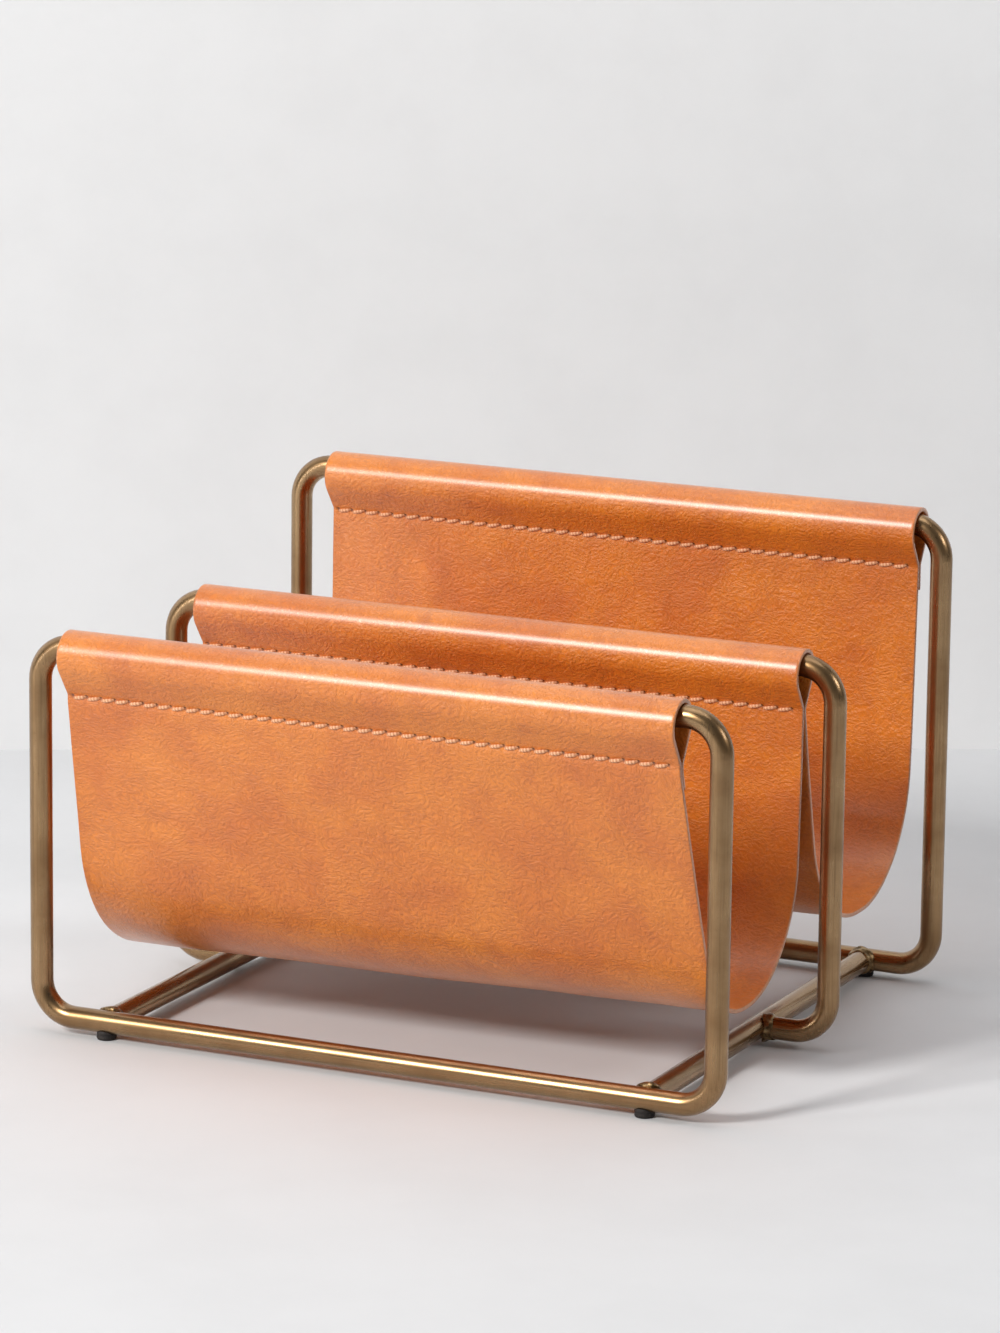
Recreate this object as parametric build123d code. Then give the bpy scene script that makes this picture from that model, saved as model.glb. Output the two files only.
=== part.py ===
from build123d import *
import os
from math import radians, tan

# Magazine rack: three upright hoops of bent round rod, welded to two rods that run from
# front to back, carry one sheet of leather that hangs between them as two pockets.
# Millimetres. X runs along the bars, Y from front to back, Z up. The origin is on the
# floor, midway between the sides and midway between the front and back hoops.

# ---- driving dimensions ----
ROD_DIAMETER = 9.5
HOOP_WIDTH = 305.0           # between the centre lines of a hoop's uprights
HOOP_SPACING = 119.0         # from one hoop to the next
BEND_RADIUS = 15.0           # of the rod's centre line
FRONT_BAR_HEIGHT = 158.0     # the top bar's centre line above the bottom bar's
MIDDLE_BAR_HEIGHT = 155.5
BACK_BAR_HEIGHT = 194.5
STRINGER_OFFSET = 122.0      # from the middle of the rack to a stringer's centre line

FOOT_DIAMETER = 11.0
FOOT_HEIGHT = 4.0            # at its rim, which rises round the rod
FOOT_STANDOFF = 2.5          # the floor to the underside of a bottom bar

WELD_START = 2.0             # from the met rod's axis to a weld bead's thick end
WELD_END = 8.0               # and to its thin end
WELD_RISE = 1.2              # height of the bead above the welded rod, at its thick end
WELD_TOE = 0.4               # and at its thin end

LEATHER_WIDTH = 279.0
LEATHER_THICKNESS = 1.8
LAYER_GAP = 0.2              # between the two layers that a seam holds together
SLEEVE_RADIUS = 8.5          # centre line of the leather where it rounds a bar
SLEEVE_HALF_WIDTH = 16.0     # to each of the two corners that the sleeve's radius rounds off
SEAM_DROP = 19.0             # from a bar's centre line down to the seam below it
SEAM_LAND = 5.0              # height of the flat strip that the stitches lie on
SEAM_RADIUS = 4.0            # of the leather's turns at the edges of that strip
HEM_LENGTH = 10.0            # free edge that hangs below a seam
PANEL_SLANT = 11.0           # degrees that a pocket's front panel leans from upright
FRONT_POCKET_FLOOR = 17.0    # the leather's centre line above the bottom bars'
BACK_POCKET_FLOOR = 33.0
POCKET_FRONT_RADIUS = 49.0
POCKET_BACK_RADIUS = 52.0

STITCH_PITCH = 6.7
STITCH_MARGIN = 3.0          # from the leather's side edge to the first hole
STITCH_HOLE_RADIUS = 0.9
THREAD_DIAMETER = 0.7
THREAD_CLEARANCE = 0.1       # from a thread to the leather and to the other thread

# ---- places worked out from them ----
ROD_RADIUS = ROD_DIAMETER / 2
BAR_Z = FOOT_STANDOFF + ROD_RADIUS
SIDES = {"left": -1, "right": 1}
HOOP_Y = {"front": -HOOP_SPACING, "middle": 0.0, "back": HOOP_SPACING}
TOP_BAR_Z = {
    "front": BAR_Z + FRONT_BAR_HEIGHT,
    "middle": BAR_Z + MIDDLE_BAR_HEIGHT,
    "back": BAR_Z + BACK_BAR_HEIGHT,
}
SEAM_Z = {place: top - SEAM_DROP for place, top in TOP_BAR_Z.items()}
LAYER_OFFSET = (LEATHER_THICKNESS + LAYER_GAP) / 2     # from a bar's plane to a layer's middle
SLANT = radians(PANEL_SLANT)
STANDING = (Align.CENTER, Align.CENTER, Align.MIN)


# ---- frame ----
def bent_rod(points, closed=False):
    """Round rod with a bend at each corner of its centre line."""
    path = FilletPolyline(*points, radius=BEND_RADIUS, close=closed)
    first = path.edges()[0]
    section = Plane(origin=first @ 0, z_dir=first % 0) * Circle(ROD_RADIUS)
    return sweep(section, path)


def closed_hoop(place):
    """Rounded rectangle that stands upright."""
    half, y = HOOP_WIDTH / 2, HOOP_Y[place]
    bottom, top = BAR_Z, TOP_BAR_Z[place]
    corners = [(-half, y, bottom), (half, y, bottom), (half, y, top), (-half, y, top)]
    return bent_rod(corners, closed=True)


def open_hoop(place):
    """Upright inverted U whose feet turn inwards, as far as the stringers' centre lines."""
    half, y = HOOP_WIDTH / 2, HOOP_Y[place]
    bottom, top = BAR_Z, TOP_BAR_Z[place]
    return bent_rod([
        (-STRINGER_OFFSET, y, bottom),
        (-half, y, bottom),
        (-half, y, top),
        (half, y, top),
        (half, y, bottom),
        (STRINGER_OFFSET, y, bottom),
    ])


def stringer(side):
    """Straight rod between the centre lines of the front and back bottom bars."""
    place = Pos(side * STRINGER_OFFSET, 0, BAR_Z) * Rot(90, 0, 0)
    return place * Cylinder(ROD_RADIUS, HOOP_Y["back"] - HOOP_Y["front"])


def weld_bead(place, side):
    """Ring of weld round a rod's end: thick at the rod it meets, thin along its own rod."""
    direction = {"front": (0, 1, 0), "middle": (side, 0, 0), "back": (0, -1, 0)}[place]
    joint = Plane(origin=(side * STRINGER_OFFSET, HOOP_Y[place], BAR_Z), z_dir=direction)
    bead = Cone(ROD_RADIUS + WELD_RISE, ROD_RADIUS + WELD_TOE, WELD_END - WELD_START, align=STANDING)
    return joint * Pos(0, 0, WELD_START) * bead


def build_frame():
    """Hoops, stringers and weld beads, each trimmed to the rod that it meets."""
    parts = {
        "front_hoop": closed_hoop("front"),
        "middle_hoop": open_hoop("middle"),
        "back_hoop": closed_hoop("back"),
    }
    whole_middle_hoop = parts["middle_hoop"]
    for name, side in SIDES.items():
        parts["middle_hoop"] -= stringer(side)
        parts[f"{name}_stringer"] = stringer(side) - parts["front_hoop"] - parts["back_hoop"]
        for place in ("front", "back"):
            parts[f"weld_{place}_{name}"] = weld_bead(place, side) - parts[f"{place}_hoop"] - stringer(side)
        parts[f"weld_middle_{name}"] = weld_bead("middle", side) - whole_middle_hoop - stringer(side)
    return parts


def build_feet(frame):
    """Round rubber pads under the stringers' welded ends, hollowed to fit what they carry."""
    parts = {}
    for place in ("front", "back"):
        for name, side in SIDES.items():
            pad = Cylinder(FOOT_DIAMETER / 2, FOOT_HEIGHT, align=STANDING)
            pad = Pos(side * STRINGER_OFFSET, HOOP_Y[place], 0) * pad
            pad -= frame[f"{place}_hoop"]
            pad -= stringer(side)
            pad -= weld_bead(place, side)
            parts[f"foot_{place}_{name}"] = pad
    return parts


# ---- leather ----
def sleeve(place):
    """Corners and radii of the leather's centre line from a seam's front layer over the bar
    and down to the seam's back layer."""
    y = HOOP_Y[place]
    land_top = SEAM_Z[place] + SEAM_LAND / 2
    crest = TOP_BAR_Z[place] + ROD_RADIUS + LAYER_GAP + LEATHER_THICKNESS / 2
    corners = [
        (y - LAYER_OFFSET, land_top),
        (y - SLEEVE_HALF_WIDTH, crest),
        (y + SLEEVE_HALF_WIDTH, crest),
        (y + LAYER_OFFSET, land_top),
    ]
    return list(zip(corners, [SEAM_RADIUS, SLEEVE_RADIUS, SLEEVE_RADIUS, SEAM_RADIUS]))


def pocket(start_y, start_seam, end_hoop, floor_height):
    """Corners and radii of the U from one seam to the next hoop: a front panel that leans
    back, a round floor and an upright back panel."""
    start = SEAM_Z[start_seam] - SEAM_LAND / 2
    floor = BAR_Z + floor_height
    corners = [
        (start_y, start),
        (start_y + (start - floor) * tan(SLANT), floor),
        (HOOP_Y[end_hoop] - LAYER_OFFSET, floor),
    ]
    return list(zip(corners, [SEAM_RADIUS, POCKET_FRONT_RADIUS, POCKET_BACK_RADIUS]))


def sling_path():
    """Centre line of the whole sheet, in the plane of Y and Z, from hem to hem."""
    y = HOOP_Y["front"] + LAYER_OFFSET
    land_bottom = SEAM_Z["front"] - SEAM_LAND / 2
    hem_below_land = HEM_LENGTH - SEAM_LAND / 2
    front_hem = (y + hem_below_land * tan(SLANT), land_bottom - hem_below_land)
    back_hem = (HOOP_Y["back"] + LAYER_OFFSET, SEAM_Z["back"] - HEM_LENGTH)

    turns = [((y, land_bottom), SEAM_RADIUS)]
    turns += reversed(sleeve("front"))
    turns += pocket(HOOP_Y["front"] - LAYER_OFFSET, "front", "middle", FRONT_POCKET_FLOOR)
    turns += sleeve("middle")
    turns += pocket(HOOP_Y["middle"] + LAYER_OFFSET, "middle", "back", BACK_POCKET_FLOOR)
    turns += sleeve("back")
    corners = [front_hem] + [corner for corner, _ in turns] + [back_hem]
    return FilletPolyline(*corners, radius=[radius for _, radius in turns])


def stitch_holes():
    """X of each hole in a seam, spread evenly about the middle."""
    row = LEATHER_WIDTH - 2 * STITCH_MARGIN
    stitches = round(row / STITCH_PITCH)
    return [STITCH_PITCH * (number - stitches / 2) for number in range(stitches + 1)]


def build_sling():
    """One sheet of leather, pierced along its three seams."""
    outline = trace(sling_path(), line_width=LEATHER_THICKNESS)
    sheet = extrude(Plane.YZ * outline, LEATHER_WIDTH / 2, both=True)
    depth = 4 * LEATHER_THICKNESS
    holes = [
        Pos(x, HOOP_Y[place], SEAM_Z[place]) * Rot(90, 0, 0) * Cylinder(STITCH_HOLE_RADIUS, depth)
        for place in HOOP_Y
        for x in stitch_holes()
    ]
    return sheet - holes


# ---- thread ----
def seam_thread(place, side):
    """One thread of a lockstitch seam: a run along the leather's face with a loop down each
    hole, which ends short of the other thread. side is -1 at the front and 1 at the back."""
    holes = stitch_holes()
    face = LAYER_OFFSET + LEATHER_THICKNESS / 2 + THREAD_CLEARANCE
    run = Pos(0, side * (face + THREAD_DIAMETER / 2), 0) * Box(
        holes[-1] - holes[0] + 2 * THREAD_DIAMETER, THREAD_DIAMETER, THREAD_DIAMETER)
    loop_end = THREAD_CLEARANCE / 2
    loop_length = face + THREAD_DIAMETER / 2 - loop_end
    loops = [
        Pos(x, side * (loop_end + loop_length / 2), 0) * Box(2 * THREAD_DIAMETER, loop_length, THREAD_DIAMETER)
        for x in holes
    ]
    return Pos(0, HOOP_Y[place], SEAM_Z[place]) * (run + loops)


def build_threads():
    """Needle thread on the front of each seam and bobbin thread on its back."""
    parts = {}
    for place in HOOP_Y:
        parts[f"{place}_needle_thread"] = seam_thread(place, -1)
        parts[f"{place}_bobbin_thread"] = seam_thread(place, 1)
    return parts


frame = build_frame()
nodes = {**frame, **build_feet(frame), "leather_sling": build_sling(), **build_threads()}

os.makedirs("parts", exist_ok=True)
for node, shape in nodes.items():
    export_step(shape, f"parts/{node}.step")
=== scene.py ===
from collections import namedtuple
from math import atan2, cos, pi, radians, sin, tan

import bpy
import numpy as np
from mathutils import Matrix, Vector, noise


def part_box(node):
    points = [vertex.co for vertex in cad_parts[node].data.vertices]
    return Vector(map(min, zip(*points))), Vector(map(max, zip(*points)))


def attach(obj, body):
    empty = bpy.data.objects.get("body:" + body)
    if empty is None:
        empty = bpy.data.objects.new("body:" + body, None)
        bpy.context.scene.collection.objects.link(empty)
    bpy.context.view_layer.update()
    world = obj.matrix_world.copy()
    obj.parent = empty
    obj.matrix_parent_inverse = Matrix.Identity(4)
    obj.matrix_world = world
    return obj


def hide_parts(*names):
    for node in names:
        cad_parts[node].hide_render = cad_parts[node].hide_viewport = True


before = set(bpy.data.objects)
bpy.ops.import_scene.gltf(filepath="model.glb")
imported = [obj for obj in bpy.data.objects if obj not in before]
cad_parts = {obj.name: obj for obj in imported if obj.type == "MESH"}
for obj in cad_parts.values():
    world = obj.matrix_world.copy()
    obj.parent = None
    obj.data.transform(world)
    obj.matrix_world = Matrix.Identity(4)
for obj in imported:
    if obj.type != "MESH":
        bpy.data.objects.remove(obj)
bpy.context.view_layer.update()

# Everything is in metres, in the frame of the CAD model: X along the bars, Y to the back, Z up.
MM = 0.001
PLACES = ("front", "middle", "back")
SIDES = {"left": -1, "right": 1}


# ---------------------------------------------------------------- sizes read from the CAD model
def middle_of(node):
    """The middle of a node's box."""
    low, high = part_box(node)
    return (low + high) / 2


hoop_low, hoop_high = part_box("front_hoop")
ROD_R = (hoop_high.y - hoop_low.y) / 2
BAR_Z = hoop_low.z + ROD_R
HOOP_Y = {place: middle_of(f"{place}_hoop").y for place in PLACES}
TOP_BAR_Z = {place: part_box(f"{place}_hoop")[1].z - ROD_R for place in PLACES}
SETTLE = {"front": 1.5, "middle": 0.0, "back": 0.0}     # how many mm a seam hangs below its CAD place
SEAM_Z = {place: middle_of(f"{place}_needle_thread").z - SETTLE[place] * MM for place in PLACES}
STRINGER_X = middle_of("right_stringer").x
SLING_HALF_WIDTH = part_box("leather_sling")[1].x
row_low, row_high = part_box("front_needle_thread")
foot_low, foot_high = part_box("foot_front_left")
PAD_SHARE = 0.75                # a moulded pad's radius, as a share of its CAD disc's

# ---------------------------------------------------------------- leather sizes
THICKNESS = 1.8 * MM
LAYER_OFFSET = 1.0 * MM         # from a hoop's plane to the middle of one layer at its seam
LAND_ABOVE = 1.0 * MM           # the flat strip that the stitches lie on, above and below its seam
LAND_BELOW = 2.5 * MM
HEM_LENGTH = 10.0 * MM
EDGE_ROUND = 0.4 * MM
SLEEVE_FRONT = 18.0 * MM        # from a bar to the corner that each side of its sleeve rounds off
SLEEVE_BACK = 14.0 * MM
CREST_GAP = 0.3 * MM            # between a bar and the leather that lies on it
CREST_FLAT = 0.1 * MM           # the strip left flat on each side of a sleeve's crest
SLEEVE_CORNER = 2.5 * MM        # the bend where a sleeve leaves its seam
POCKET_CORNER = 5.0 * MM        # the bend where a pocket or a hem leaves its seam
HEM_THINNING = 0.35             # the cut ends are thinner by this share

# ---------------------------------------------------------------- the leather's mesh
FINE = 1.1 * MM                 # row spacing on sleeves and seams
COARSE = 3.6 * MM               # row spacing on the pockets
COLUMNS_PER_STITCH = 6
LEFT_COLUMNS = 3                # beyond the first hole, towards the left edge
RIGHT_COLUMNS = 5               # beyond the last hole, towards the right edge
EDGE_STEPS = 5                  # points round each cut edge, between its two faces
EDGE_BLEND = 7                  # rows over which the side edges' places are averaged

# ---------------------------------------------------------------- stitching sizes
LOOP_WIDTH = 1.4 * MM           # a thread node is this much longer than its row of holes
NOMINAL_PITCH = 6.7 * MM
ROW_LENGTH = row_high.x - row_low.x - LOOP_WIDTH
STITCHES = round(ROW_LENGTH / NOMINAL_PITCH)
ROW_SHRINK = 0.988              # the leather's gathering shortens each row a little,
ROW_SLIP = -1.3 * MM            # and its middle is nearer to the left edge
PITCH = ROW_LENGTH * ROW_SHRINK / STITCHES
HOLES = [PITCH * (number - STITCHES / 2) + ROW_SLIP for number in range(STITCHES + 1)]
HOLE_RADIUS = 0.78 * MM
HOLE_DEPTH = 0.85 * MM
HOLE_RISE = 0.55 * MM           # the holes are a little above the middle of the stitches
GROOVE_DEPTH = 0.22 * MM        # the thread's pull presses a groove along each row
GROOVE_WIDTH = 1.3 * MM
THREAD_R = 0.80 * MM
STITCH_RINGS = 15               # rings along one stitch, and points round each
STITCH_SIDES = 10
STITCH_START = 0.04             # a stitch starts this share of a pitch after its first hole,
STITCH_SPAN = 0.93              # and is this share of a pitch long
STITCH_LOW = -0.55 * MM         # from the seam's height to its left end,
STITCH_RISE = 1.0 * MM          # and from there up to its right end
STITCH_WANDER = 0.12 * MM
STITCH_SINK = 0.75 * MM         # its ends dive this far into the leather,
STITCH_LIFT = 1.05 * MM         # and its middle is this much further out
TWIST = 4.5                     # how far the plies turn along one stitch

# ---------------------------------------------------------------- weld and pad sizes
BEAD_AROUND = 40                # points round a weld bead, and from its root to its toe
BEAD_ALONG = 10
BEAD_ROOT = 1.6 * MM            # the least distance from where the rods cross to a bead's root
BEAD_BITE = 0.5 * MM            # the root's overlap with the flank of the other rod
BEAD_REACH = 7.4 * MM           # from where the rods cross to the toe
BEAD_STRAY = 1.3 * MM           # how far the toe wanders
BEAD_SWELL = 1.25 * MM          # how far the root stands off the rod,
BEAD_SIDE_SWELL = 0.5 * MM      # and how much further at its sides
BEAD_TOE = 0.15 * MM            # how far the toe stands off the rod
BEAD_RIPPLE = 0.35 * MM
BEAD_LUMP = 0.85 * MM
BEAD_SINK = 0.7 * MM            # the first and last rings lie this far inside the rod
BEAD_LIMIT = 1.9 * MM           # the furthest that any point stands off the rod

PAD_AROUND = 36                 # points round a pad
# A pad's side, from its underside to its top, as shares of its radius and height.
PAD_OUTLINE = (
    (0.5, 0.0), (0.86, 0.0), (0.95, 0.04), (1.0, 0.16), (1.0, 0.42), (0.96, 0.5), (1.0, 0.58),
    (1.0, 0.84), (0.95, 0.96), (0.86, 1.0), (0.7, 1.0), (0.5, 1.0), (0.3, 1.0), (0.1, 1.0),
)

# ---------------------------------------------------------------- how the sling hangs
# One bend of the sling's profile. edges are the sheet's left and right edges there, and step is the
# spacing of the rows that lead to it.
Bend = namedtuple("Bend", "y z radius step edges")

# A pocket at one side of the sheet: how far its front panel leans, in degrees, how high its floor is
# above the bottom bars, and the radii at the front and the back of its floor.
Pocket = namedtuple("Pocket", "lean floor front_radius back_radius")

# Each pocket at the left and at the right. The front one is twisted: on the right its panel leans back
# more and its floor is higher.
POCKETS = {
    "front": (Pocket(9.5, 18.6 * MM, 63 * MM, 45 * MM), Pocket(18.5, 22.0 * MM, 40 * MM, 49.5 * MM)),
    "back": (Pocket(10.5, 36.5 * MM, 49 * MM, 51 * MM), Pocket(10.5, 36.5 * MM, 49 * MM, 51 * MM)),
}

# The pockets' gentle waves: the height, size and seed of each.
WAVES = ((1.1 * MM, 85 * MM, 0.1), (0.35 * MM, 30 * MM, 0.7))
WAVES_START = 6 * MM            # from a seam, where the waves start,
WAVES_FULL = 34 * MM            # and where they reach their full height

# The sheet's left and right edges where it crosses each bar and each seam: it has slipped along the
# bars a little, a different way on each.
AT_BAR = {"front": (-139.4 * MM, 136.0 * MM), "middle": (-139.4 * MM, 139.6 * MM),
          "back": (-136.4 * MM, 143.2 * MM)}
AT_SEAM = {"front": (-138.9 * MM, 135.5 * MM), "middle": (-138.9 * MM, 139.1 * MM),
           "back": (-135.9 * MM, 142.7 * MM)}


# ---------------------------------------------------------------- small helpers
def smooth(edge0, edge1, value):
    """0 before edge0, 1 after edge1, and a smooth step between them."""
    t = np.clip((value - edge0) / (edge1 - edge0), 0.0, 1.0)
    return t * t * (3 - 2 * t)


def wander(x, y, z, size):
    """Smooth noise from about -1 to 1 whose lumps are about size across."""
    return noise.noise(Vector((x, y, z)) / size)


def new_object(name, vertices, faces, material):
    """A smooth-shaded mesh piece that rides on the frame."""
    mesh = bpy.data.meshes.new(name)
    mesh.from_pydata(np.asarray(vertices).tolist(), [], faces)
    mesh.polygons.foreach_set("use_smooth", [True] * len(mesh.polygons))
    mesh.materials.append(material)
    mesh.update()
    piece = bpy.data.objects.new(name, mesh)
    bpy.context.scene.collection.objects.link(piece)
    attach(piece, "root")
    return piece


def point_attribute(mesh, name, kind, values):
    """Store one value for each vertex, for a material to read."""
    field = "vector" if kind == "FLOAT_VECTOR" else "value"
    mesh.attributes.new(name, kind, "POINT").data.foreach_set(field, np.ravel(values))


def grid_faces(rows, columns, closed_rows, closed_columns):
    """Quads over a grid of vertices, which may join up along either way."""
    faces = []
    for i in range(rows if closed_rows else rows - 1):
        for j in range(columns if closed_columns else columns - 1):
            i2, j2 = (i + 1) % rows, (j + 1) % columns
            faces.append((i * columns + j, i * columns + j2, i2 * columns + j2, i2 * columns + j))
    return faces


# ---------------------------------------------------------------- node material helpers
class Nodes:
    """Short calls that add nodes to one material."""

    def __init__(self, name):
        self.material = bpy.data.materials.new(name)
        self.material.use_nodes = True
        self.tree = self.material.node_tree
        self.shader = self.tree.nodes["Principled BSDF"]

    def feed(self, socket, value):
        """Link another node's output to a socket, or set the socket to a plain value."""
        if isinstance(value, bpy.types.NodeSocket):
            self.tree.links.new(value, socket)
        else:
            socket.default_value = value

    def add(self, kind, inputs=None, **settings):
        """A node with its settings and its inputs, which are values or other nodes' outputs."""
        node = self.tree.nodes.new(f"ShaderNode{kind}")
        for key, value in settings.items():
            setattr(node, key, value)
        for key, value in (inputs or {}).items():
            self.feed(node.inputs[key], value)
        return node

    def surface(self):
        """The surface's own coordinates, in metres."""
        return self.add("TexCoord").outputs["Object"]

    def attribute(self, name, output="Fac"):
        """A value that point_attribute stored on the mesh."""
        return self.add("Attribute", attribute_name=name).outputs[output]

    def stretch(self, vector, scale):
        """Coordinates multiplied by a scale for each axis."""
        return self.add("Mapping", {"Vector": vector, "Scale": scale}).outputs["Vector"]

    def bend(self, vector, size, amount):
        """A drifting offset up to about amount long, which bends a pattern."""
        drift = self.add("TexNoise", {"Vector": vector, "Scale": 1 / size}).outputs["Color"]
        centred = self.add("VectorMath", {0: drift, 1: (0.5, 0.5, 0.5)}, operation="SUBTRACT").outputs[0]
        return self.add("VectorMath", {0: centred, "Scale": amount}, operation="SCALE").outputs[0]

    def noise(self, vector, size, detail=3.0, roughness=0.5, distortion=0.0):
        """Noise whose lumps are about size across, in metres."""
        inputs = {"Vector": vector, "Scale": 1 / size, "Detail": detail,
                  "Roughness": roughness, "Distortion": distortion}
        return self.add("TexNoise", inputs).outputs["Fac"]

    def cells(self, vector, size):
        """Rounded cells about size across, in metres."""
        node = self.add("TexVoronoi", {"Vector": vector, "Scale": 1 / size}, feature="SMOOTH_F1")
        return node.outputs["Distance"]

    def remap(self, value, low, high, to_low=0.0, to_high=1.0):
        """A smooth step: to_low where the value is low, and to_high where it is high."""
        inputs = {"Value": value, "From Min": low, "From Max": high, "To Min": to_low, "To Max": to_high}
        return self.add("MapRange", inputs, interpolation_type="SMOOTHSTEP").outputs["Result"]

    def math(self, operation, a, b=0.0):
        """A Math node on one or two numbers."""
        return self.add("Math", {0: a, 1: b}, operation=operation).outputs["Value"]

    def mix(self, factor, a, b):
        """Two colours mixed by a factor."""
        return self.add("Mix", {0: factor, 6: a, 7: b}, data_type="RGBA").outputs[2]

    def bump(self, height, distance, strength, below=None):
        """A normal bent by a height, over the bump below it if there is one."""
        inputs = {"Height": height, "Distance": distance, "Strength": strength}
        if below is not None:
            inputs["Normal"] = below
        return self.add("Bump", inputs).outputs["Normal"]

    def finish(self, **inputs):
        """Join values or outputs to the shader's sockets. An underscore stands for a space."""
        for key, value in inputs.items():
            self.feed(self.shader.inputs[key.replace("_", " ")], value)
        return self.material


def colour(red, green, blue):
    """A colour given as it looks on screen, from 0 to 255, turned into linear light."""
    linear = [((c / 255 + 0.055) / 1.055) ** 2.4 if c > 10 else c / 255 / 12.92 for c in (red, green, blue)]
    return (*linear, 1.0)


# ---------------------------------------------------------------- materials
def leather_material():
    """Waxed tan leather: cloudy colour, fine creased grain with painted shade in its hollows, pale raw
    edges and painted shade in the stitch holes.
    """
    n = Nodes("tan_leather")
    flat = n.attribute("flat", "Vector")

    clouds = n.noise(flat, 52 * MM, detail=5, roughness=0.6, distortion=0.3)
    blotches = n.noise(flat, 13 * MM, detail=5, roughness=0.6)
    speckle = n.noise(flat, 2.2 * MM, detail=4, roughness=0.7)
    base = n.mix(n.remap(clouds, 0.36, 0.66), colour(231, 134, 40), colour(214, 115, 33))
    base = n.mix(n.remap(blotches, 0.5, 0.78, 0.0, 0.34), base, colour(176, 86, 38))
    base = n.mix(n.remap(speckle, 0.5, 0.8, 0.0, 0.2), base, colour(158, 74, 34))

    # Fine wrinkles that drift in direction, over a pebbled grain.
    bent = n.add("VectorMath", {0: flat, 1: n.bend(flat, 16 * MM, 12 * MM)}, operation="ADD").outputs[0]
    wrinkles = n.noise(n.stretch(bent, (1.0, 1.35, 1.0)), 1.9 * MM, detail=3, roughness=0.6)
    wrinkles = n.remap(wrinkles, 0.36, 0.64)
    pebbles = n.remap(n.cells(flat, 1.15 * MM), 0.0, 0.7)
    # Painted shade: the hollows between the wrinkles are painted darker, more in some patches than in
    # others.
    shaded_hollows = n.math("SUBTRACT", 1.0, wrinkles)
    hollow_shade = n.remap(n.noise(flat, 20 * MM, detail=2), 0.42, 0.68, 0.12, 0.25)
    base = n.mix(n.math("MULTIPLY", shaded_hollows, hollow_shade), base, colour(146, 70, 34))

    edge = n.attribute("edge")
    raw = n.mix(n.noise(flat, 1.2 * MM, detail=3), colour(214, 150, 104), colour(186, 116, 76))
    base = n.mix(edge, base, raw)
    # Painted shade: the stitch holes are painted near black.
    base = n.mix(n.attribute("hole"), base, colour(52, 22, 12))

    grain = n.bump(pebbles, 0.2 * MM, 0.6)
    grain = n.bump(wrinkles, 0.36 * MM, 0.7, grain)
    grain = n.bump(blotches, 0.9 * MM, 0.25, grain)
    gloss = n.remap(n.math("ADD", speckle, clouds), 0.75, 1.25, 0.34, 0.46)
    return n.finish(Base_Color=base, Roughness=gloss, Normal=grain, Specular_IOR_Level=0.45,
                    Coat_Weight=1.0, Coat_Roughness=0.3)


def brass_material(name, hoop):
    """Antique brass: drawn lines along the rods, and patches of brown patina.

    A hoop's lines run across in its bars and up in its uprights. A stringer's run to the back.
    """
    n = Nodes(name)
    near = n.surface()

    def lines_along(scale):
        return n.noise(n.stretch(near, scale), 0.8 * MM, detail=3, roughness=0.6)

    if hoop:
        reach = n.math("ABSOLUTE", n.add("SeparateXYZ", {"Vector": near}).outputs["X"])
        inside = hoop_high.x - 2 * ROD_R
        upright = n.remap(reach, inside - 6 * MM, inside)
        lines = n.mix(upright, lines_along((0.02, 1.0, 1.0)), lines_along((1.0, 1.0, 0.02)))
    else:
        lines = lines_along((1.0, 0.02, 1.0))
    patina = n.noise(near, 26 * MM, detail=4, roughness=0.5)
    specks = n.noise(near, 1.5 * MM, detail=3, roughness=0.6)
    base = n.mix(n.remap(patina, 0.36, 0.7), colour(166, 134, 96), colour(142, 110, 74))
    base = n.mix(n.remap(lines, 0.45, 0.75, 0.0, 0.4), base, colour(112, 84, 54))
    base = n.mix(n.remap(specks, 0.6, 0.8, 0.0, 0.25), base, colour(92, 70, 46))
    gloss = n.remap(n.math("ADD", patina, lines), 0.8, 1.25, 0.26, 0.36)
    return n.finish(Base_Color=base, Metallic=1.0, Roughness=gloss, Normal=n.bump(lines, 0.03 * MM, 0.5),
                    Coat_Weight=0.35, Coat_Roughness=0.12)


def weld_material():
    """The plated bead of a weld: the rods' brass, rougher in its hollows, with painted shade darkening
    them.
    """
    n = Nodes("plated_weld")
    near = n.surface()
    lumps = n.noise(near, 2.2 * MM, detail=4, roughness=0.6)
    # Painted shade: the colour follows the lumps' height and is darker in the hollows.
    base = n.mix(n.remap(lumps, 0.35, 0.65), colour(96, 76, 50), colour(176, 148, 108))
    gloss = n.remap(lumps, 0.3, 0.7, 0.46, 0.28)
    return n.finish(Base_Color=base, Metallic=1.0, Roughness=gloss, Normal=n.bump(lumps, 0.5 * MM, 0.5))


def thread_material():
    """Waxed polyester thread with its twist: painted shade darkens the grooves between its plies."""
    n = Nodes("waxed_thread")
    along = n.attribute("along")
    plies = n.remap(n.math("PINGPONG", along, 0.5), 0.0, 0.5)
    fuzz = n.noise(n.surface(), 0.5 * MM, detail=3)
    # Painted shade: each ply is lighter at its crown and darker in the groove beside it.
    base = n.mix(plies, colour(206, 138, 96), colour(246, 192, 148))
    base = n.mix(n.remap(fuzz, 0.5, 0.8, 0.0, 0.4), base, colour(196, 128, 88))
    normal = n.bump(plies, 0.14 * MM, 0.7)
    return n.finish(Base_Color=base, Roughness=0.55, Normal=normal, Sheen_Weight=0.15)


def rubber_material():
    """Black moulded rubber with a fine matt texture and a little dust."""
    n = Nodes("moulded_rubber")
    near = n.surface()
    texture = n.noise(near, 0.6 * MM, detail=4, roughness=0.65)
    dust = n.noise(near, 4 * MM, detail=4)
    base = n.mix(n.remap(dust, 0.5, 0.75), colour(34, 28, 26), colour(58, 50, 46))
    return n.finish(Base_Color=base, Roughness=n.remap(texture, 0.3, 0.7, 0.6, 0.85),
                    Normal=n.bump(texture, 0.1 * MM, 0.5))


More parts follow.
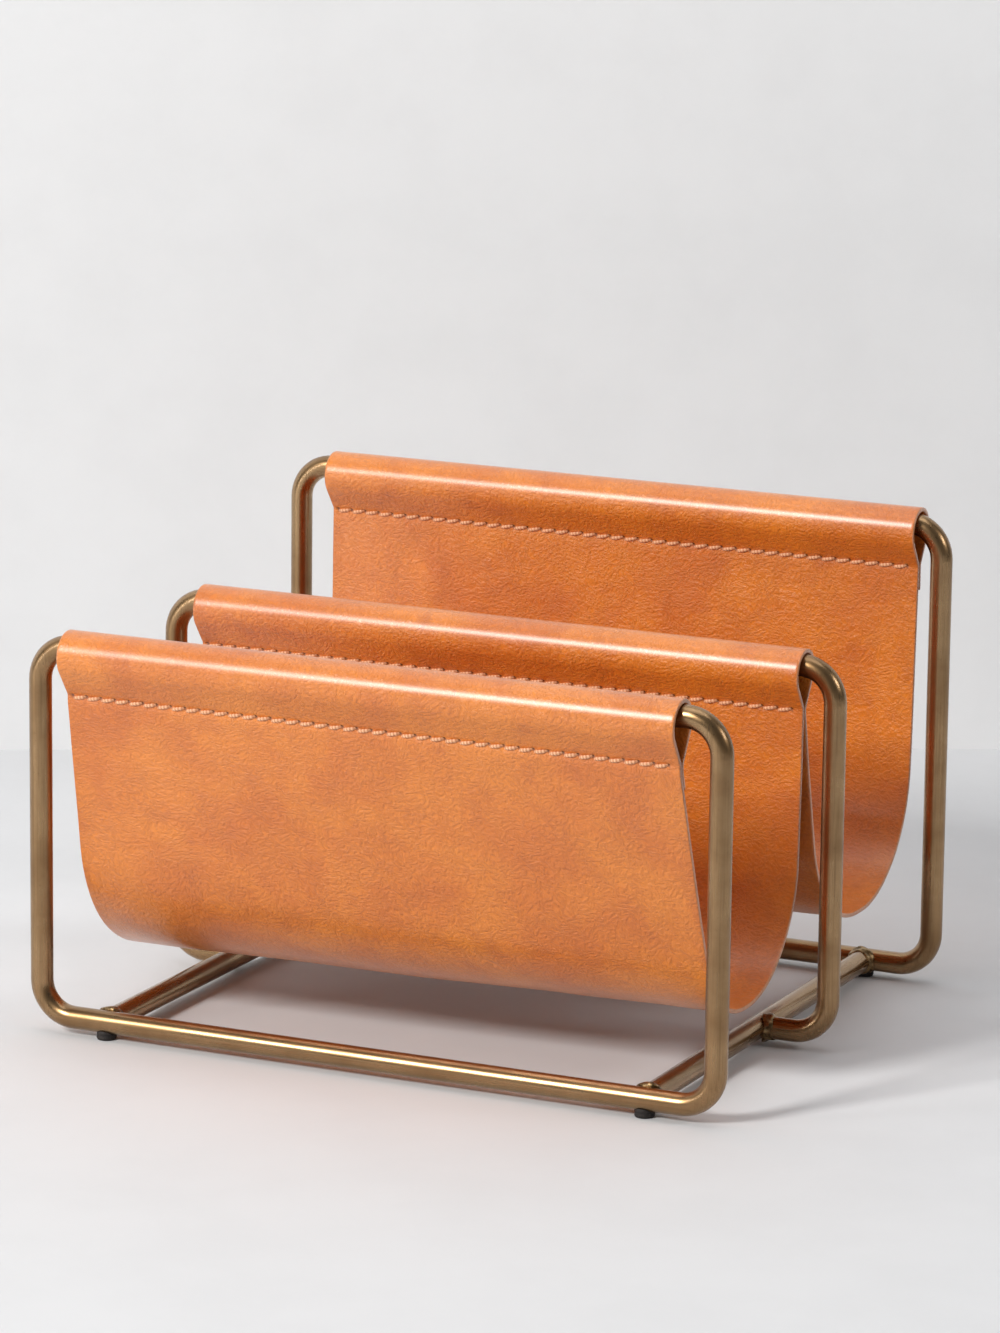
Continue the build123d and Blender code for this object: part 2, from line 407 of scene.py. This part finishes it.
def stage_material(name, tone, size, one_sided=False):
    """A pale, nearly even surface with a faint plaster texture. One-sided, it is clear from behind."""
    n = Nodes(name)
    near = n.surface()
    haze = n.noise(near, size, detail=5, roughness=0.6)
    dark = tuple(c * 0.97 for c in tone[:3]) + (1.0,)
    material = n.finish(Base_Color=n.mix(n.remap(haze, 0.35, 0.7), tone, dark), Roughness=0.85,
                        Normal=n.bump(haze, 1.5 * MM, 0.15))
    if one_sided:
        back = n.add("NewGeometry").outputs["Backfacing"]
        clear = n.add("BsdfTransparent").outputs["BSDF"]
        both = n.add("MixShader", {0: back, 1: n.shader.outputs["BSDF"], 2: clear}).outputs["Shader"]
        n.tree.links.new(both, n.tree.nodes["Material Output"].inputs["Surface"])
    return material


# ---------------------------------------------------------------- the sling's profile
def sleeve_bends(place):
    """The loop over a bar, from the top of its seam in front to the top of its seam behind."""
    y, land_top = HOOP_Y[place], SEAM_Z[place] + LAND_ABOVE
    crest = TOP_BAR_Z[place] + ROD_R + CREST_GAP + THICKNESS / 2
    seam, bar = AT_SEAM[place], AT_BAR[place]

    def crest_radius(reach):
        """The radius that rounds a corner off as far as the crest."""
        lean = atan2(reach - LAYER_OFFSET, crest - land_top)
        return (reach - CREST_FLAT) / tan((pi / 2 + lean) / 2)

    return [
        Bend(y - LAYER_OFFSET, land_top, SLEEVE_CORNER, FINE, seam),
        Bend(y - SLEEVE_FRONT, crest, crest_radius(SLEEVE_FRONT), FINE, bar),
        Bend(y + SLEEVE_BACK, crest, crest_radius(SLEEVE_BACK), FINE, bar),
        Bend(y + LAYER_OFFSET, land_top, SLEEVE_CORNER, FINE, seam),
    ]


def pocket_at(name, side):
    """A pocket's shape from side 0, the sheet's left edge, to 1, its right."""
    return Pocket(*(left + (right - left) * side for left, right in zip(*POCKETS[name])))


def pocket_bends(start, end, pocket):
    """The U from the back of one seam, or the front of the first, to the front of the next."""
    floor = BAR_Z + pocket.floor
    lean = tan(radians(pocket.lean))
    front_y = HOOP_Y[start] + (-LAYER_OFFSET if start == "front" else LAYER_OFFSET)
    back_y = HOOP_Y[end] - LAYER_OFFSET
    top, far_top = (SEAM_Z[place] - LAND_BELOW for place in (start, end))
    between = tuple(np.add(AT_SEAM[start], AT_SEAM[end]) / 2)
    return [
        Bend(front_y, top, POCKET_CORNER, FINE, AT_SEAM[start]),
        Bend(front_y + (top - floor) * lean, floor, pocket.front_radius, COARSE, between),
        Bend(back_y, floor, pocket.back_radius, COARSE, between),
        Bend(back_y, far_top, 0.0, COARSE, AT_SEAM[end]),
    ]


def sling_bends(side):
    """Start, bends and end of the whole sheet's profile, from side 0, its left edge, to 1, its right."""
    front_pocket, back_pocket = pocket_at("front", side), pocket_at("back", side)
    land_bottom = SEAM_Z["front"] - LAND_BELOW
    hem_drop = HEM_LENGTH - LAND_BELOW
    hem_y = HOOP_Y["front"] + LAYER_OFFSET
    start = (hem_y + hem_drop * tan(radians(front_pocket.lean)), land_bottom - hem_drop)
    end = (HOOP_Y["back"] + LAYER_OFFSET, SEAM_Z["back"] - HEM_LENGTH)
    bends = [
        Bend(hem_y, land_bottom, POCKET_CORNER, FINE, AT_SEAM["front"]),
        *reversed(sleeve_bends("front")),
        *pocket_bends("front", "middle", front_pocket),
        *sleeve_bends("middle"),
        *pocket_bends("middle", "back", back_pocket),
        *sleeve_bends("back"),
    ]
    return start, bends, end


def round_corners(start, bends, end, plan=None):
    """Points along the straight runs and arcs of a profile, in the plane of Y and Z.

    plan holds how many steps each run and arc takes, so that two profiles get matching rows. Returns
    the points, the plan, and the row at the middle of each bend.
    """
    new_plan = []
    points = [np.array(start)]
    middle_rows = []
    corners = [np.array(start), *(np.array((b.y, b.z)) for b in bends), np.array(end)]

    def run_to(target, step):
        origin = points[-1]
        count = plan[len(new_plan)] if plan else max(1, round(np.linalg.norm(target - origin) / step))
        new_plan.append(count)
        points.extend(origin + (target - origin) * k / count for k in range(1, count + 1))

    for before, corner, after, bend in zip(corners, corners[1:], corners[2:], bends):
        run_in = (corner - before) / np.linalg.norm(corner - before)
        run_out = (after - corner) / np.linalg.norm(after - corner)
        turn = np.arccos(np.clip(run_in @ run_out, -1, 1))
        setback = bend.radius * tan(turn / 2)
        run_to(corner - run_in * setback, bend.step)
        if bend.radius == 0:
            middle_rows.append(len(points) - 1)
            continue
        side = run_out - run_in * (run_in @ run_out)
        side /= np.linalg.norm(side)
        centre = points[-1] + side * bend.radius
        count = plan[len(new_plan)] if plan else max(2, round(bend.radius * turn / bend.step))
        new_plan.append(count)
        middle_rows.append(len(points) - 1 + count // 2)
        for k in range(1, count + 1):
            angle = turn * k / count
            points.append(centre + bend.radius * (run_in * sin(angle) - side * cos(angle)))
    run_to(corners[-1], FINE)
    return np.array(points), new_plan, middle_rows


# ---------------------------------------------------------------- the sling
def soften(values, width):
    """A running mean over width rows."""
    padded = np.pad(values, width // 2, mode="edge")
    return np.convolve(padded, np.ones(width) / width, mode="valid")[:len(values)]


def sheet_columns():
    """Places across the sheet: a whole number of columns to a stitch, and a few at each edge."""
    inner = np.linspace(HOLES[0], HOLES[-1], STITCHES * COLUMNS_PER_STITCH + 1)
    margin = SLING_HALF_WIDTH - EDGE_ROUND
    left = np.linspace(-margin, HOLES[0], LEFT_COLUMNS + 1)[:-1]
    right = np.linspace(HOLES[-1], margin, RIGHT_COLUMNS + 1)[1:]
    return np.concatenate([left, inner, right])


def middle_surface():
    """The middle of the sheet's thickness: points[row, column], the rows' lengths and the columns."""
    start, bends, end = sling_bends(0.5)
    _, plan, rows = round_corners(start, bends, end)
    left, _, _ = round_corners(*sling_bends(0.0), plan)
    right, _, _ = round_corners(*sling_bends(1.0), plan)
    count = len(left)
    left_edge, right_edge = (
        soften(np.interp(np.arange(count), rows, [bend.edges[which] for bend in bends]), EDGE_BLEND)
        for which in (0, 1))

    columns = sheet_columns()
    points = np.zeros((count, len(columns), 3))
    across = (columns / SLING_HALF_WIDTH + 1) / 2
    points[:, :, 0] = left_edge[:, None] * (1 - across) + right_edge[:, None] * across
    # The profile changes fastest halfway across the sheet.
    side = (across + smooth(0.25, 0.75, across)) / 2
    points[:, :, 1:] = left[:, None, :] * (1 - side)[:, None] + right[:, None, :] * side[:, None]
    mean = (left + right) / 2
    length = np.concatenate([[0], np.cumsum(np.linalg.norm(np.diff(mean, axis=0), axis=1))])
    return points, length, columns


def surface_normals(points):
    """Unit normals of the sheet, on the side that faces out at the front panel."""
    along = np.gradient(points, axis=0)
    across = np.gradient(points, axis=1)
    normals = np.cross(along, across)
    return normals / np.linalg.norm(normals, axis=2, keepdims=True)


def seam_rows(points):
    """For each place, the rows of its two layers that are at the height of its seam."""
    middle = points.shape[1] // 2
    y, z = points[:, middle, 1], points[:, middle, 2]
    found = {}
    for place in PLACES:
        for layer in (-1, 1):
            distance = np.hypot(y - HOOP_Y[place] - layer * LAYER_OFFSET, z - SEAM_Z[place])
            found[place, layer] = int(np.argmin(distance))
    return found


def wave_sheet(points, length, rows):
    """Push the pockets gently in and out, and leave the sleeves and seams where they are."""
    normals = surface_normals(points)
    free = np.ones(len(length))
    for place in PLACES:
        first, last = sorted((rows[place, -1], rows[place, 1]))
        free *= 1 - smooth(length[first] - WAVES_FULL, length[first] - WAVES_START, length) * (
            1 - smooth(length[last] + WAVES_START, length[last] + WAVES_FULL, length))
    waves = np.zeros(points.shape[:2])
    for i, j in np.ndindex(waves.shape):
        if free[i] > 0:
            x = points[i, j, 0]
            waves[i, j] = sum(height * wander(x, length[i], seed, size) for height, size, seed in WAVES)
    return points + normals * (waves * free[:, None])[:, :, None]


def stitch_dents(length, columns, rows):
    """How deep the holes and the pull of the thread press into the sheet, and how much painted hole shade
    each point gets.
    """
    depth = np.zeros((len(length), len(columns)))
    hole = np.zeros_like(depth)
    stitched = np.where((columns > HOLES[0]) & (columns < HOLES[-1]))[0]
    for (place, layer), row in rows.items():
        upward = 1 if (layer == -1) == (place != "front") else -1
        rise = upward * (length - length[row])
        near_rows = np.where(np.abs(rise) < 4 * MM)[0]
        for x in HOLES:
            near = np.where(np.abs(columns - x) < 2 * MM)[0]
            away = np.hypot(rise[near_rows][:, None] - HOLE_RISE, (columns[near] - x)[None, :])
            shape = np.exp(-(away / HOLE_RADIUS) ** 4)
            block = np.ix_(near_rows, near)
            depth[block] = np.maximum(depth[block], HOLE_DEPTH * shape)
            hole[block] = np.maximum(hole[block], shape)
        groove = GROOVE_DEPTH * np.exp(-(rise[near_rows] / GROOVE_WIDTH) ** 2)
        block = np.ix_(near_rows, stitched)
        depth[block] = np.maximum(depth[block], groove[:, None])
    return depth, hole


def cut_edge(points, normals, taper, column, sign):
    """The rounded edge of one side of the sheet, from its outer face to its inner face."""
    across = points[:, column] - points[:, column - sign]
    across /= np.linalg.norm(across, axis=1, keepdims=True)
    steps = []
    for k in range(1, EDGE_STEPS + 1):
        angle = pi * k / (EDGE_STEPS + 1)
        bulge = EDGE_ROUND * sin(angle) ** 0.6
        height = (THICKNESS / 2 * cos(angle) * taper)[:, None]
        steps.append(points[:, column] + across * bulge + normals[:, column] * height)
    return np.stack(steps, axis=1)


def sheet_faces(count, width):
    """The sheet's skin, and the strips that close its first and last rows."""
    around = 2 * (width + EDGE_STEPS)
    last_inner = 2 * width + EDGE_STEPS - 1
    faces = grid_faces(count, around, False, True)
    for row in (0, count - 1):
        start = row * around
        cap = []
        for j in range(width - 1):
            cap.append((start + j, start + last_inner - j, start + last_inner - j - 1, start + j + 1))
        cap.append(tuple(start + width - 1 + k for k in range(EDGE_STEPS + 2)))
        cap.append(tuple(start + (last_inner + k) % around for k in range(EDGE_STEPS + 2)))
        faces += [tuple(reversed(face)) for face in cap] if row else cap
    return faces


def mark_sheet(mesh, length, columns, hole):
    """Store each vertex's place on the flat sheet, how much of it is cut edge, and how much painted
    stitch-hole shade it gets.
    """
    count, width = hole.shape
    inner = slice(width + EDGE_STEPS, 2 * width + EDGE_STEPS)
    flat = np.zeros((count, 2 * (width + EDGE_STEPS), 3))
    flat[:, :, 0] = np.concatenate([columns, [columns[-1]] * EDGE_STEPS,
                                    columns[::-1], [columns[0]] * EDGE_STEPS])
    flat[:, :, 1] = length[:, None]
    flat[:, width:inner.stop, 2] = THICKNESS
    edge = np.ones(flat.shape[:2])
    edge[1:-1, :width] = 0
    edge[1:-1, inner] = 0
    hole_shading = np.zeros(flat.shape[:2])
    hole_shading[:, :width] = hole
    hole_shading[:, inner] = hole[:, ::-1]
    point_attribute(mesh, "flat", "FLOAT_VECTOR", flat)
    point_attribute(mesh, "edge", "FLOAT", edge)
    point_attribute(mesh, "hole", "FLOAT", hole_shading)


def build_sling(material):
    """The leather as one closed mesh with rounded, pale cut edges."""
    points, length, columns = middle_surface()
    rows = seam_rows(points)
    points = wave_sheet(points, length, rows)
    normals = surface_normals(points)
    depth, hole = stitch_dents(length, columns, rows)

    # Each row is a ring: the outer face from left to right, the right edge, the inner face and the left.
    to_end = np.minimum(length, length[-1] - length)
    taper = 1 - HEM_THINNING * (1 - smooth(0, EDGE_ROUND, to_end))
    offset = normals * ((THICKNESS / 2 - depth) * taper[:, None])[:, :, None]
    right = cut_edge(points, normals, taper, -1, 1)
    left = cut_edge(points, normals, taper, 0, -1)
    rings = np.concatenate([points + offset, right, (points - offset)[:, ::-1], left[:, ::-1]], axis=1)

    faces = sheet_faces(len(length), len(columns))
    sling = new_object("sling", rings.reshape(-1, 3), faces, material)
    mark_sheet(sling.data, length, columns, hole)
    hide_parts("leather_sling")
    return sling


# ---------------------------------------------------------------- the stitches
def seam_x(place, x):
    """Where a place across the flat sheet is along a seam."""
    left, right = AT_SEAM[place]
    return left + (right - left) * (x / SLING_HALF_WIDTH + 1) / 2


def stitch_rings(place, layer, left, right):
    """One plump stitch. It leaves one hole, slants up a little to the right and dives into the next."""
    face = LAYER_OFFSET + THICKNESS / 2
    seed = 0.1 * (1 + PLACES.index(place))
    vertices = []
    for i in range(STITCH_RINGS):
        t = i / (STITCH_RINGS - 1)
        lift = sin(pi * t) ** 0.55
        x = left + (right - left) * (STITCH_START + STITCH_SPAN * t)
        uneven = STITCH_WANDER * wander(x, seed, layer, 9 * MM)
        z = SEAM_Z[place] + STITCH_LOW + STITCH_RISE * t + uneven
        out = face - STITCH_SINK + STITCH_LIFT * lift
        radius = THREAD_R * (0.55 + 0.45 * lift)
        if i in (0, STITCH_RINGS - 1):
            radius *= 0.3
        for j in range(STITCH_SIDES):
            angle = 2 * pi * j / STITCH_SIDES
            y = HOOP_Y[place] + layer * (out + 0.85 * radius * sin(angle))
            vertices.append((seam_x(place, x), y, z + layer * radius * cos(angle)))
    return vertices


def build_thread(place, name, layer, material):
    """One row of stitches, as separate closed tubes in one mesh."""
    tube = grid_faces(STITCH_RINGS, STITCH_SIDES, False, True)
    tube.append(tuple(reversed(range(STITCH_SIDES))))
    tube.append(tuple((STITCH_RINGS - 1) * STITCH_SIDES + j for j in range(STITCH_SIDES)))
    vertices, faces, along = [], [], []
    for left, right in zip(HOLES, HOLES[1:]):
        offset = len(vertices)
        vertices += stitch_rings(place, layer, left, right)
        faces += [tuple(offset + v for v in face) for face in tube]
        for i in range(STITCH_RINGS):
            along += [TWIST * i / (STITCH_RINGS - 1) + j / STITCH_SIDES for j in range(STITCH_SIDES)]
    thread = new_object(f"{place}_{name}_stitches", vertices, faces, material)
    point_attribute(thread.data, "along", "FLOAT", along)
    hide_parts(f"{place}_{name}_thread")
    return thread


def build_threads(material):
    """The needle thread in front of each seam and the bobbin thread behind it."""
    return [build_thread(place, name, layer, material)
            for place in PLACES for name, layer in (("needle", -1), ("bobbin", 1))]


# ---------------------------------------------------------------- the rods
def finish_rods():
    """The hoops and stringers keep their CAD shape and take the brass."""
    hoop_brass = brass_material("hoop_brass", hoop=True)
    stringer_brass = brass_material("stringer_brass", hoop=False)
    finishes = {f"{place}_hoop": hoop_brass for place in PLACES}
    finishes.update({f"{side}_stringer": stringer_brass for side in SIDES})
    for node, brass in finishes.items():
        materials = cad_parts[node].data.materials
        materials.clear()
        materials.append(brass)


# ---------------------------------------------------------------- welds and feet
def build_weld(name, joint, along, material):
    """A lumpy bead round the end of one rod where it meets the flank of another.

    joint is where the two rods' centre lines cross, and along points out along the rod that ends.
    """
    across = along.cross(Vector((0, 0, 1)))
    vertices = []
    for i in range(BEAD_AROUND):
        angle = 2 * pi * i / BEAD_AROUND
        outward = across * cos(angle) + Vector((0, 0, sin(angle)))
        root = max(BEAD_ROOT, ROD_R * abs(cos(angle)) - BEAD_BITE)
        reach = BEAD_REACH + BEAD_STRAY * wander(*(joint + outward * 6 * MM), 5 * MM)
        for j in range(BEAD_ALONG):
            t = j / (BEAD_ALONG - 1)
            place = joint + along * (root + (reach - root) * t)
            swell = (BEAD_SWELL + BEAD_SIDE_SWELL * abs(cos(angle))) * (1 - t) ** 0.8 + BEAD_TOE
            ripple = BEAD_RIPPLE * sin(5 * angle + 9 * t) * (1 - t)
            lump = BEAD_LUMP * wander(*(place + outward * 3 * MM), 4.5 * MM) * (1 - 0.6 * t)
            raised = min(swell + ripple + lump, BEAD_LIMIT)
            if j in (0, BEAD_ALONG - 1):
                raised = -BEAD_SINK
            vertices.append(place + outward * (ROD_R + raised))
    faces = grid_faces(BEAD_AROUND, BEAD_ALONG, True, True)
    weld = new_object(name + "_bead", vertices, faces, material)
    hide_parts(name)


def build_welds(material):
    """Where each stringer meets the front and back hoops, and each middle foot meets a stringer."""
    for side, sign in SIDES.items():
        for place, along in (("front", Vector((0, 1, 0))), ("middle", Vector((sign, 0, 0))),
                             ("back", Vector((0, -1, 0)))):
            joint = Vector((sign * STRINGER_X, HOOP_Y[place], BAR_Z))
            build_weld(f"weld_{place}_{side}", joint, along, material)


def rods_above(x, y, centre, inward):
    """The height of the rods' underside over a foot, or None where no rod is above."""
    heights = []
    if abs(y - centre.y) < ROD_R:
        heights.append(BAR_Z - (ROD_R ** 2 - (y - centre.y) ** 2) ** 0.5)
    if abs(x - centre.x) < ROD_R and (y - centre.y) * inward > 0:
        heights.append(BAR_Z - (ROD_R ** 2 - (x - centre.x) ** 2) ** 0.5)
    return min(heights) if heights else None


def build_foot(name, inward, material):
    """A moulded pad with a rounded rim, a groove round its side and a top that cups the rods."""
    centre = middle_of(name)
    radius, height = PAD_SHARE * (foot_high.x - foot_low.x) / 2, foot_high.z
    vertices = [(centre.x, centre.y, 0.0)]
    for share, level in PAD_OUTLINE:
        for k in range(PAD_AROUND):
            angle = 2 * pi * k / PAD_AROUND
            x = centre.x + radius * share * cos(angle)
            y = centre.y + radius * share * sin(angle)
            above = rods_above(x, y, centre, inward)
            z = height * level if above is None else min(height * level, above)
            vertices.append((x, y, z))
    top = len(vertices)
    vertices.append((centre.x, centre.y, BAR_Z - ROD_R))

    last_ring = top - PAD_AROUND
    faces = [(0, 1 + (k + 1) % PAD_AROUND, 1 + k) for k in range(PAD_AROUND)]
    faces += [tuple(1 + v for v in face) for face in grid_faces(len(PAD_OUTLINE), PAD_AROUND, False, True)]
    faces += [(top, last_ring + k, last_ring + (k + 1) % PAD_AROUND) for k in range(PAD_AROUND)]
    foot = new_object(name + "_pad", vertices, faces, material)
    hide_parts(name)


def build_feet(material):
    """A pad under each end of both stringers."""
    for side in SIDES:
        for place, inward in (("front", 1), ("back", -1)):
            build_foot(f"foot_{place}_{side}", inward, material)


# ---------------------------------------------------------------- camera, room and light
AZIMUTH = radians(24.852)
ELEVATION = radians(12.445)
ROLL = radians(0.661)
DISTANCE = 2.4573
TARGET = Vector((6.77, -12.25, 150.93)) * MM
SENSOR_WIDTH = 36.0             # in millimetres, like the focal length
FOCAL_LENGTH = 159.03
ROOM_WIDTH = 8.0
WALL_HEIGHT = 5.0
WALL_DISTANCE = 0.49            # behind the target, away from the camera
WALL_TURN = radians(3.06)       # the wall's foot is level in a picture that is slightly rolled


def towards_camera(azimuth, elevation):
    """A unit vector from the object to a viewer."""
    return Vector((sin(azimuth) * cos(elevation), -cos(azimuth) * cos(elevation), sin(elevation)))


def look(obj, place, target, roll=0.0):
    """Put a camera or light at a place, facing a target."""
    turn = (target - place).to_track_quat("-Z", "Y").to_matrix().to_4x4()
    obj.matrix_world = Matrix.Translation(place) @ turn @ Matrix.Rotation(roll, 4, "Z")


def build_camera():
    """The photograph's viewpoint."""
    data = bpy.data.cameras.new("camera")
    data.sensor_width = SENSOR_WIDTH
    data.lens = FOCAL_LENGTH
    data.clip_start = 0.05
    camera = bpy.data.objects.new("camera", data)
    bpy.context.scene.collection.objects.link(camera)
    look(camera, TARGET + towards_camera(AZIMUTH, ELEVATION) * DISTANCE, TARGET, ROLL)
    bpy.context.scene.camera = camera


def build_plane(name, width, height, place, turn, material):
    """A large flat stage surface."""
    corners = [(x * width / 2, y * height / 2, 0) for x, y in ((-1, -1), (1, -1), (1, 1), (-1, 1))]
    mesh = bpy.data.meshes.new(name)
    mesh.from_pydata(corners, [], [(0, 1, 2, 3)])
    mesh.materials.append(material)
    plane = bpy.data.objects.new(name, mesh)
    plane.matrix_world = Matrix.Translation(place) @ turn
    bpy.context.scene.collection.objects.link(plane)


def build_room():
    """A pale floor, and a pale wall that stands across the view behind the rack."""
    build_plane("floor", ROOM_WIDTH, ROOM_WIDTH, Vector((0, 0, 0)), Matrix.Identity(4),
                stage_material("floor_paint", colour(219, 220, 222), 90 * MM))
    backward = Vector((-sin(AZIMUTH), cos(AZIMUTH), 0))
    foot = Vector((TARGET.x, TARGET.y, 0)) + backward * WALL_DISTANCE
    turn = Matrix.Rotation(AZIMUTH + WALL_TURN, 4, "Z") @ Matrix.Rotation(pi / 2, 4, "X")
    build_plane("wall", ROOM_WIDTH, WALL_HEIGHT, foot + Vector((0, 0, WALL_HEIGHT / 2)), turn,
                stage_material("wall_paint", colour(229, 230, 231), 60 * MM, one_sided=True))


def build_light(name, azimuth, elevation, distance, width, height, power, tint):
    """A soft box, placed by where it stands as seen from the rack."""
    data = bpy.data.lights.new(name, "AREA")
    data.shape = "RECTANGLE"
    data.size, data.size_y = width, height
    data.energy = power
    data.color = tint
    light = bpy.data.objects.new(name, data)
    bpy.context.scene.collection.objects.link(light)
    look(light, LIGHT_AIM + towards_camera(radians(azimuth), radians(elevation)) * distance, LIGHT_AIM)


# Soft boxes: azimuth and elevation seen from the rack, distance, width, height, watts and tint.
WHITE = (1.0, 1.0, 1.0)
LIGHT_AIM = Vector((0, 0, 0.1))
LIGHTS = {
    "key": (-24, 33, 3.2, 0.62, 0.75, 79, (1.0, 0.985, 0.96)),
    "top": (30, 85, 1.5, 1.2, 0.8, 5.5, WHITE),
    "right_box": (92, 30, 1.9, 0.5, 0.5, 6.5, WHITE),
    "left_strip": (-42, 10, 1.6, 0.08, 1.1, 3.5, WHITE),
}
ROOM_LIGHT = 0.12
ROOM_TINT = (0.92, 0.96, 1.0, 1.0)


def build_lights():
    """The soft boxes, and a dim room round them."""
    for name, values in LIGHTS.items():
        build_light(name, *values)
    world = bpy.data.worlds.new("room")
    world.use_nodes = True
    background = world.node_tree.nodes["Background"]
    background.inputs["Color"].default_value = ROOM_TINT
    background.inputs["Strength"].default_value = ROOM_LIGHT
    bpy.context.scene.world = world
    bpy.context.scene.view_settings.view_transform = "Standard"


# ---------------------------------------------------------------- the whole scene
build_camera()
build_room()
build_lights()

finish_rods()
sling = build_sling(leather_material())
threads = build_threads(thread_material())
build_welds(weld_material())
build_feet(rubber_material())
